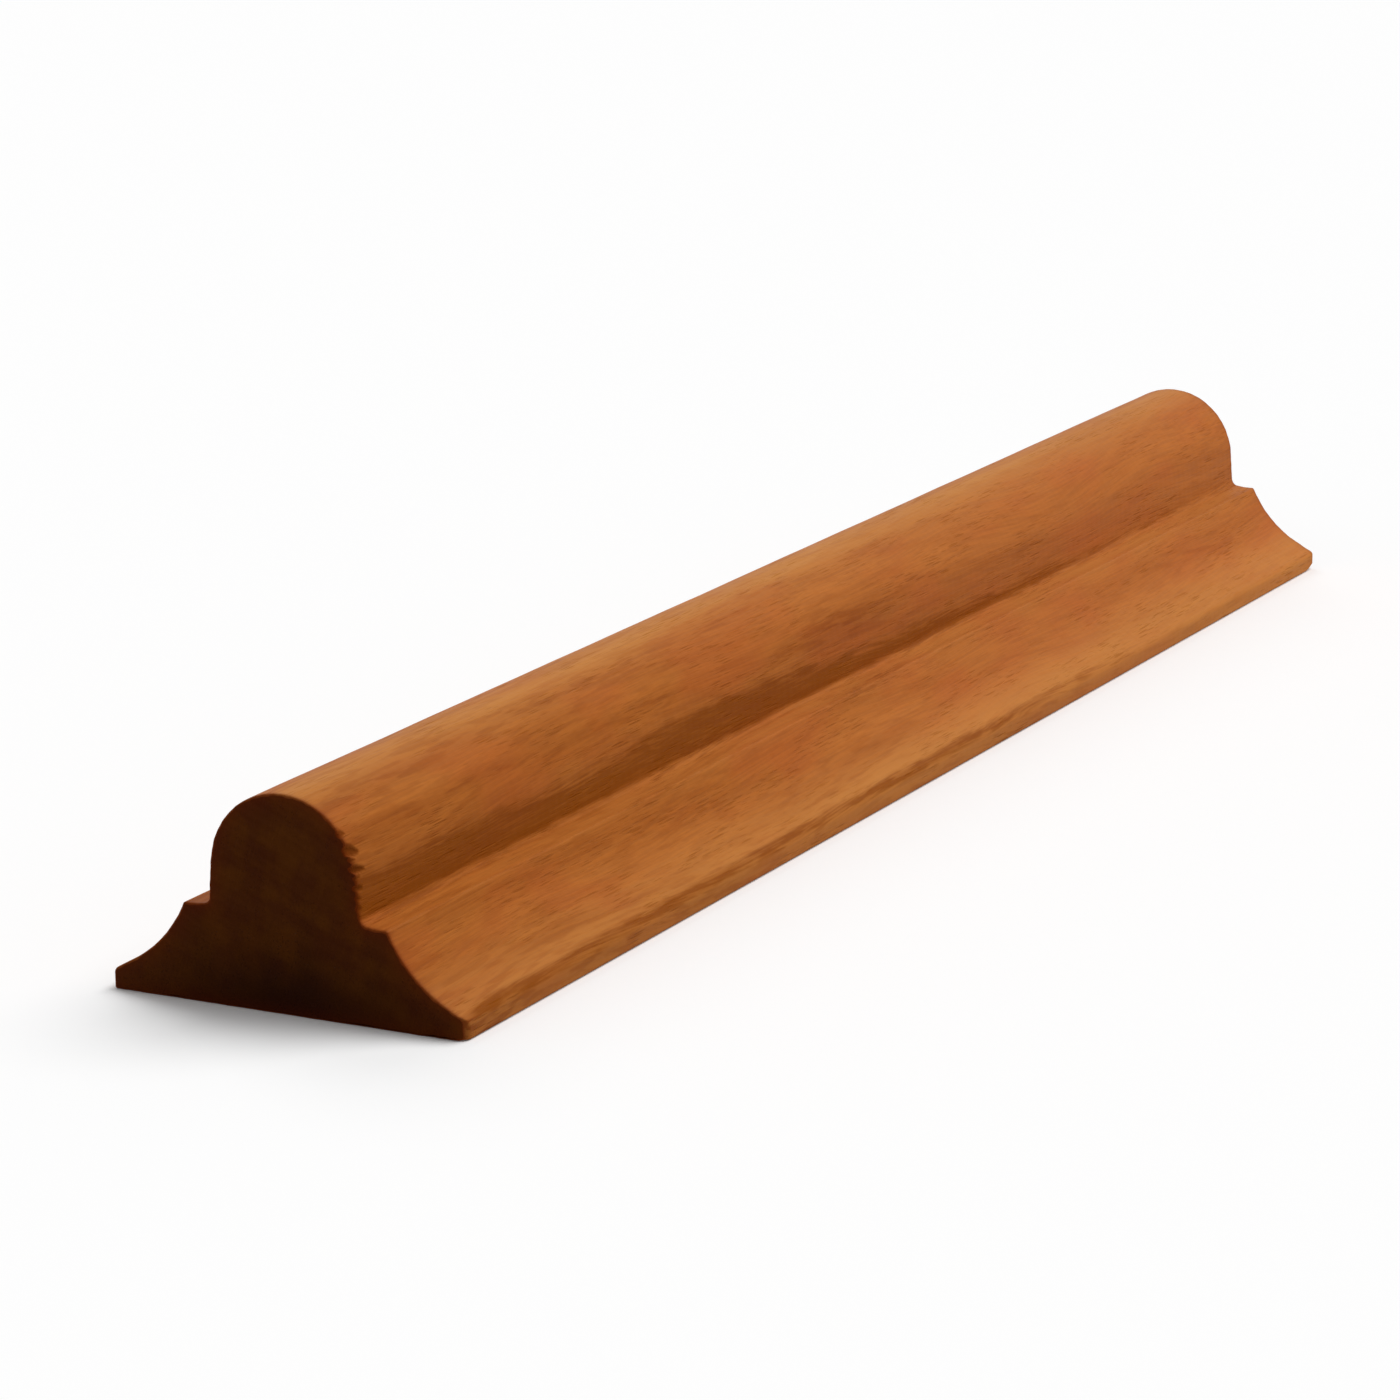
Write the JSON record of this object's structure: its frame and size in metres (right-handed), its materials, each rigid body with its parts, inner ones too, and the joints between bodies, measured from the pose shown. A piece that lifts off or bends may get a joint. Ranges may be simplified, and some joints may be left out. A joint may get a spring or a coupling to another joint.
{
  "type": "astragal moulding",
  "caption": "Hardwood astragal moulding: flat back, a half-round bead on a short neck, and a ledge and cove each side running out to thin square edges.",
  "frame": {"origin": "middle of the flat back, halfway between the two sawn ends", "axes": "+X along the bar, +Y across it from edge to edge, +Z from the flat back up to the crown of the bead"},
  "size_m": [0.21, 0.038, 0.0211],
  "materials": {
    "hardwood": "planed hardwood, lightly sanded, satin"
  },
  "bodies": {
    "root": {"astragal_moulding": "hardwood"}
  },
  "joints": []
}
